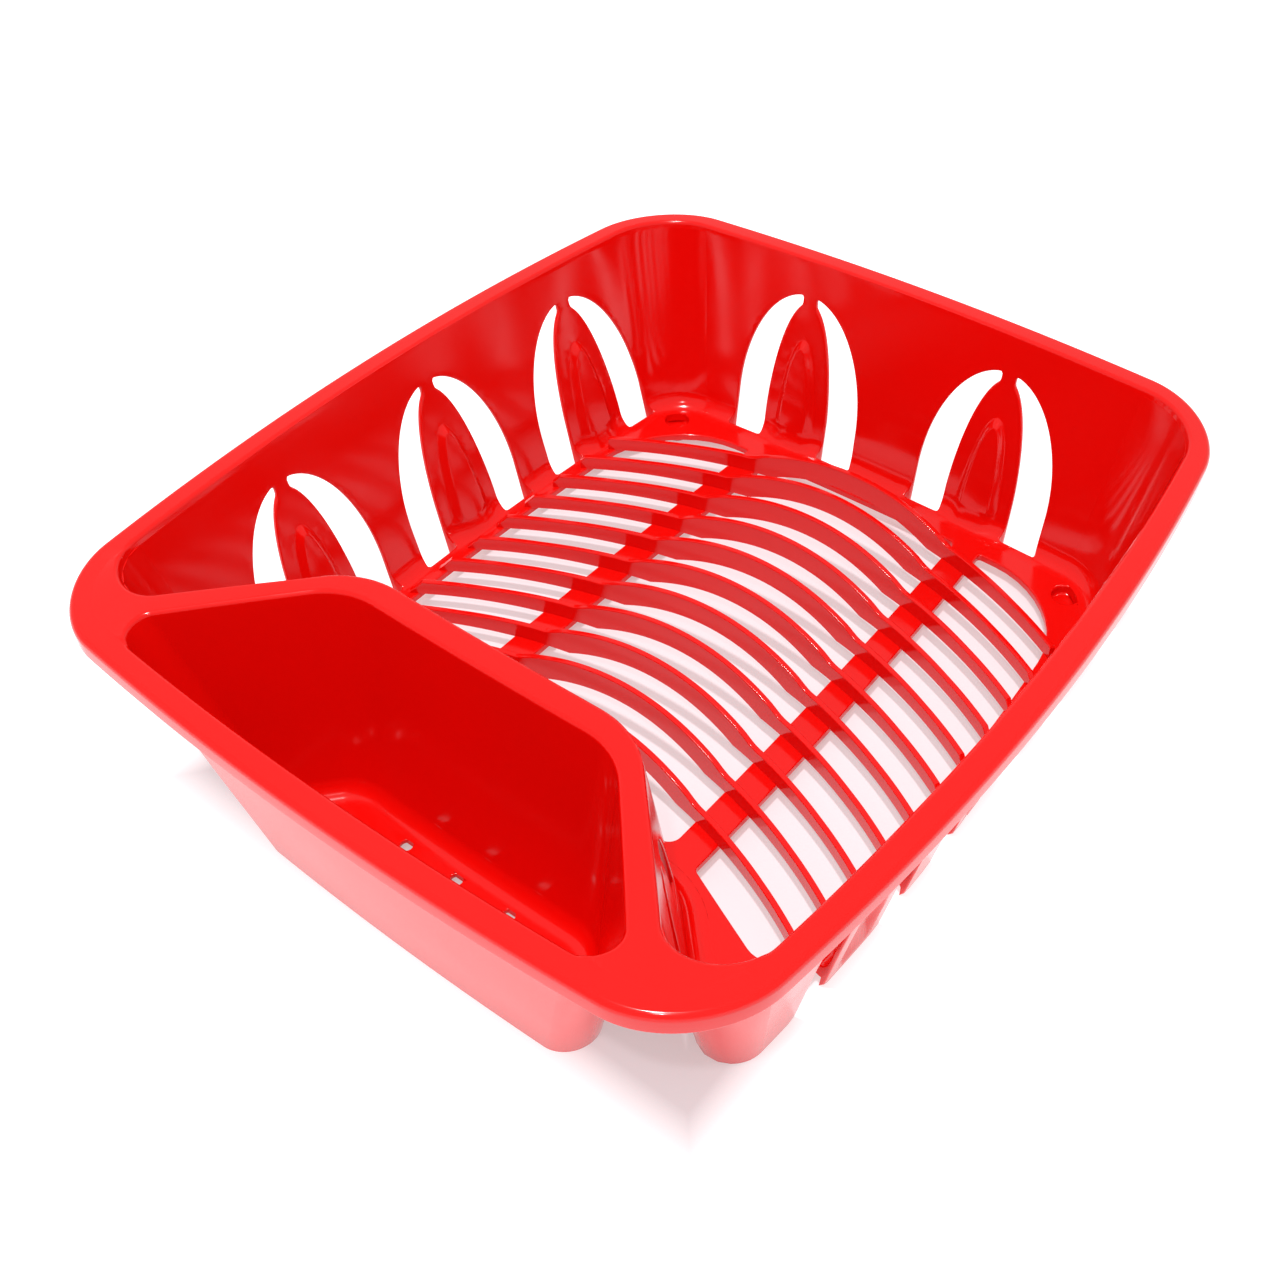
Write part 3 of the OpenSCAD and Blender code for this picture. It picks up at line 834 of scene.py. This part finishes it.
def make_rib(k):
    apex = RIB_FIRST_U - RIB_PITCH * k + drop(RIB_RADIUS, BAR_IN) - SHIFT_X
    mid_r = RIB_RADIUS + RIB_THICK / 2
    tries = np.arange(100.0, 145.0, 0.25)
    along = np.array([(apex - drop(mid_r, y) + RIB_THICK / 2, y) for y in tries])
    end_y = tries[~inside(along, floor_edge)][0] + RIB_INTO_WALL
    ys = set(np.round(np.linspace(0, end_y, RIB_STEPS), 3))
    ys |= {y + d for y in (BAR_IN, BAR_OUT) for d in (-RIB_KINK, RIB_KINK)}
    ys |= {FADE_FROM} if FADE_FROM < end_y else set()
    ys = sorted({-y for y in ys} | ys)
    rows = []
    for y in ys:
        a = math.asin(y / mid_r)
        rows.append([(apex - mid_r + (mid_r + off) * math.cos(a), (mid_r + off) * math.sin(a), z)
                     for off, z in rib_section(y)])
    m = len(rows[0])
    verts = [p for row in rows for p in row]
    faces = [(j * m + i, j * m + (i + 1) % m, (j + 1) * m + (i + 1) % m, (j + 1) * m + i)
             for j in range(len(rows) - 1) for i in range(m)]
    faces.append(tuple(range(m)))
    faces.append(tuple(range((len(rows) - 1) * m, len(rows) * m))[::-1])
    add_piece("rib_%02d_moulded" % (k + 1), verts, faces, ["rib_%02d" % (k + 1)])


for k in range(RIB_COUNT):
    make_rib(k)


# ---- cutlery pocket ----
POCKET_HIGH = 95
POCKET_LOW = 20
DRAIN_EDGE = 0.5
# the pocket wall's section as (offset, z): down the inside, round the foot, up the outside
pocket_inside = [(0, z) for z in np.linspace(POCKET_HIGH, POCKET_LOW, 6)]
pocket_fillet = [(-POCKET_ROUND * (1 - math.sin(a)), POCKET_FLOOR + POCKET_ROUND * (1 - math.cos(a)))
                 for a in np.linspace(math.pi / 2, 0, 10)]
pocket_under = POCKET_FLOOR - WALL
pocket_flat = -POCKET_ROUND - FLAT_RUN
pocket_foot = [(pocket_flat, POCKET_FLOOR), (pocket_flat, pocket_under), (0, pocket_under), (0, 0), (WALL, 0)]
pocket_outside = [(WALL, z) for z in np.linspace(POCKET_LOW, LIP_END, 6)]
pocket_section = [(0, LIP_END)] + pocket_inside + pocket_fillet + pocket_foot + pocket_outside
pocket_samples = pocket.samples(4.0, 0.5, 30)
verts, faces = swept([at_height(pocket.trace(pocket_samples, pocket_level(z), off), z)
                      for off, z in pocket_section])
add_piece("pocket_moulded", verts, faces,
          ["pocket_wall_outer", "pocket_wall_left", "pocket_wall_right", "pocket_wall_inner"])
pocket_edge = pocket.trace(pocket_samples, 1.0, pocket_flat)
drains = [circle((DRAIN_U - SHIFT_X, y), DRAIN_R, 32) for y in (0.0, DRAIN_PITCH, -DRAIN_PITCH)]
plate("pocket_floor_moulded", pocket_edge, drains, POCKET_FLOOR, pocket_under, [DRAIN_EDGE] * 3,
      ["pocket_floor_plate"])


# ---- rim and deck ----
# the step between band and deck: where it starts past the band's edge, and how wide it is
STEP_FROM = 0.3
STEP_RUN = 0.5
CREASE_AT = (0.3, -0.2)
CREASE_GAP = 2.2
HEM_ROUND = 0.8
HEM_TURN = 0.4
rim_samples = rim.samples(5.0, 0.0, 36)
rim_dense = resampled(rim.trace(rim_samples, 0.0), 1.0)


def deck_top(plan):
    """Height of the top face: the band is a hair lower than the deck inside it."""
    gap = nearest(plan, rim_dense)
    return HEIGHT - DECK_STEP * (1 - smooth((gap - RIM_BAND + STEP_FROM) / STEP_RUN))


def lip_ring(ring, samples, level_of, angle):
    """One ring of the rounded edge round a hole of the deck, from the deck (0) down."""
    z = HEIGHT - LIP_ROUND * (1 - math.cos(angle))
    plan = ring.trace(samples, level_of(z), LIP_ROUND * (1 - math.sin(angle)))
    return np.column_stack([plan, deck_top(plan) - HEIGHT + z])


def make_rim():
    holes = [(basin, basin.samples(4.0, 0.0, 36), basin_level),
             (pocket, pocket.samples(3.0, 0.0, 30), pocket_level)]
    top_loops = [rim.trace(rim_samples, 0.0, -RIM_ROUND)]
    low_loops = [rim.trace(rim_samples, 0.0, -WALL)]
    for ring, samples, level_of in holes:
        top_loops.append(ring.trace(samples, level_of(HEIGHT), LIP_ROUND))
        low_loops.append(ring.trace(samples, level_of(HEIGHT - WALL), WALL))
    crease = np.vstack([resampled(rim.trace(rim_samples, 0.0, -RIM_BAND + d), 2.0) for d in CREASE_AT])
    crease = crease[far_from(crease, np.vstack(top_loops), CREASE_GAP)]
    for loop in top_loops[1:]:
        crease = crease[~inside(crease, loop)]
    plan_top = np.vstack(top_loops + [crease])
    plan_low = np.vstack(low_loops + [crease])
    loops = spans(top_loops)
    shell = Shell()
    n = shell.sheets(np.column_stack([plan_top, deck_top(plan_top)]), at_height(plan_low, HEIGHT - WALL),
                     triangulated(plan_top, loops))

    band_z = HEIGHT - DECK_STEP
    skirt_z = HEIGHT - SKIRT
    edge = [(-RIM_ROUND * (1 - math.sin(a)), band_z - RIM_ROUND * (1 - math.cos(a)))
            for a in np.linspace(0, math.pi / 2, 8)[1:]]
    edge += [(0, skirt_z + HEM_ROUND), (-0.25, skirt_z + 0.22), (-HEM_ROUND, skirt_z),
             (-WALL + HEM_TURN, skirt_z), (-WALL, skirt_z + HEM_TURN), (-WALL, HEIGHT - WALL - HEM_ROUND)]
    chain = [shell.add(at_height(rim.trace(rim_samples, 0.0, off), z)) for off, z in edge]
    shell.join([0] + chain + [n], len(rim_samples))

    for (first, count), (ring, samples, level_of) in zip(loops[1:], holes):
        chain = [first]
        for angle in np.linspace(0, math.pi / 2, 6)[1:]:
            chain.append(shell.add(lip_ring(ring, samples, level_of, angle)))
        for off in (0.0, WALL):
            chain.append(shell.add(at_height(ring.trace(samples, level_of(LIP_END), off), LIP_END)))
        shell.join(chain + [first + n], count)
    sides = ["rim_" + side for side in ("far", "left", "near", "right")]
    corners = ["rim_corner_%s_%s" % (end, hand) for end in ("far", "near") for hand in ("left", "right")]
    shell.piece("rim_moulded", sides + corners + ["web_left", "web_right", "bridge"])


make_rim()


# ---- floor, light and camera ----
# half length and half width of the rack's foot on the floor, and how far past it the glow changes
FOOTPRINT = (0.165, 0.135)
FOOTPRINT_FADE = 1.12
GLOW_UNDER = 0.40
GLOW_ROUND = 0.90


# a pale floor whose emission is painted light: a glow that is dim under the rack and bright past its
# footprint
def glowing_floor():
    mat = bpy.data.materials.new("glowing_floor")
    mat.use_nodes = True
    shader = mat.node_tree.nodes["Principled BSDF"]
    shader.inputs["Base Color"].default_value = (0.50, 0.47, 0.50, 1)
    shader.inputs["Roughness"].default_value = 0.7
    shader.inputs["Emission Color"].default_value = (1.0, 1.0, 1.0, 1)
    nodes, links = mat.node_tree.nodes, mat.node_tree.links
    coords = nodes.new("ShaderNodeTexCoord")
    split = nodes.new("ShaderNodeSeparateXYZ")
    links.new(coords.outputs["Object"], split.inputs["Vector"])

    def math_node(operation, a, b=None):
        node = nodes.new("ShaderNodeMath")
        node.operation = operation
        for socket, value in zip(node.inputs, (a, b)):
            if isinstance(value, float):
                socket.default_value = value
            elif value is not None:
                links.new(value, socket)
        return node.outputs["Value"]

    # painted glow: the floor glows more outside the rack's footprint, so its shadow fades out there, and
    # glows less under the rack
    along = math_node("DIVIDE", math_node("ABSOLUTE", split.outputs["X"]), FOOTPRINT[0])
    across = math_node("DIVIDE", math_node("ABSOLUTE", split.outputs["Y"]), FOOTPRINT[1])
    edge = nodes.new("ShaderNodeMapRange")
    edge.inputs["From Min"].default_value = 1.0
    edge.inputs["From Max"].default_value = FOOTPRINT_FADE
    edge.inputs["To Min"].default_value = GLOW_UNDER
    edge.inputs["To Max"].default_value = GLOW_ROUND
    links.new(math_node("MAXIMUM", along, across), edge.inputs["Value"])
    links.new(edge.outputs["Result"], shader.inputs["Emission Strength"])
    bpy.ops.mesh.primitive_plane_add(size=8, location=(0, 0, -0.0002))
    plane = bpy.context.object
    plane.name = "studio_floor"
    plane.data.materials.append(mat)


def softbox(name, place, target, size, power):
    light = bpy.data.lights.new(name, "AREA")
    light.shape = "DISK"
    light.size = size
    light.energy = power
    obj = bpy.data.objects.new(name, light)
    obj.location = place
    obj.rotation_euler = (Vector(target) - Vector(place)).to_track_quat("-Z", "Y").to_euler()
    bpy.context.scene.collection.objects.link(obj)


RACK_MIDDLE = (0, 0, 0.05)
SKY = 0.66
glowing_floor()
softbox("key", (-0.30, -0.05, 1.9), RACK_MIDDLE, size=0.14, power=22)
softbox("flash", (-0.50, -0.30, 0.85), RACK_MIDDLE, size=0.03, power=1.4)
world = bpy.data.worlds.new("studio")
world.use_nodes = True
world.node_tree.nodes["Background"].inputs["Color"].default_value = (1, 1, 1, 1)
world.node_tree.nodes["Background"].inputs["Strength"].default_value = SKY
bpy.context.scene.world = world
bpy.context.scene.view_settings.view_transform = "Standard"

# tilt up from straight down, roll and heading of the camera, in degrees
CAMERA_TURN = (45.2165, 1.1812, -51.5031)
CAMERA_AT = (-0.3755, -0.29325, 0.50626)
camera_data = bpy.data.cameras.new("camera")
camera_data.lens = 41.53
camera_data.sensor_width = 36.0
camera = bpy.data.objects.new("camera", camera_data)
camera.location = CAMERA_AT
camera.rotation_euler = [math.radians(a) for a in CAMERA_TURN]
bpy.context.scene.collection.objects.link(camera)
bpy.context.scene.camera = camera
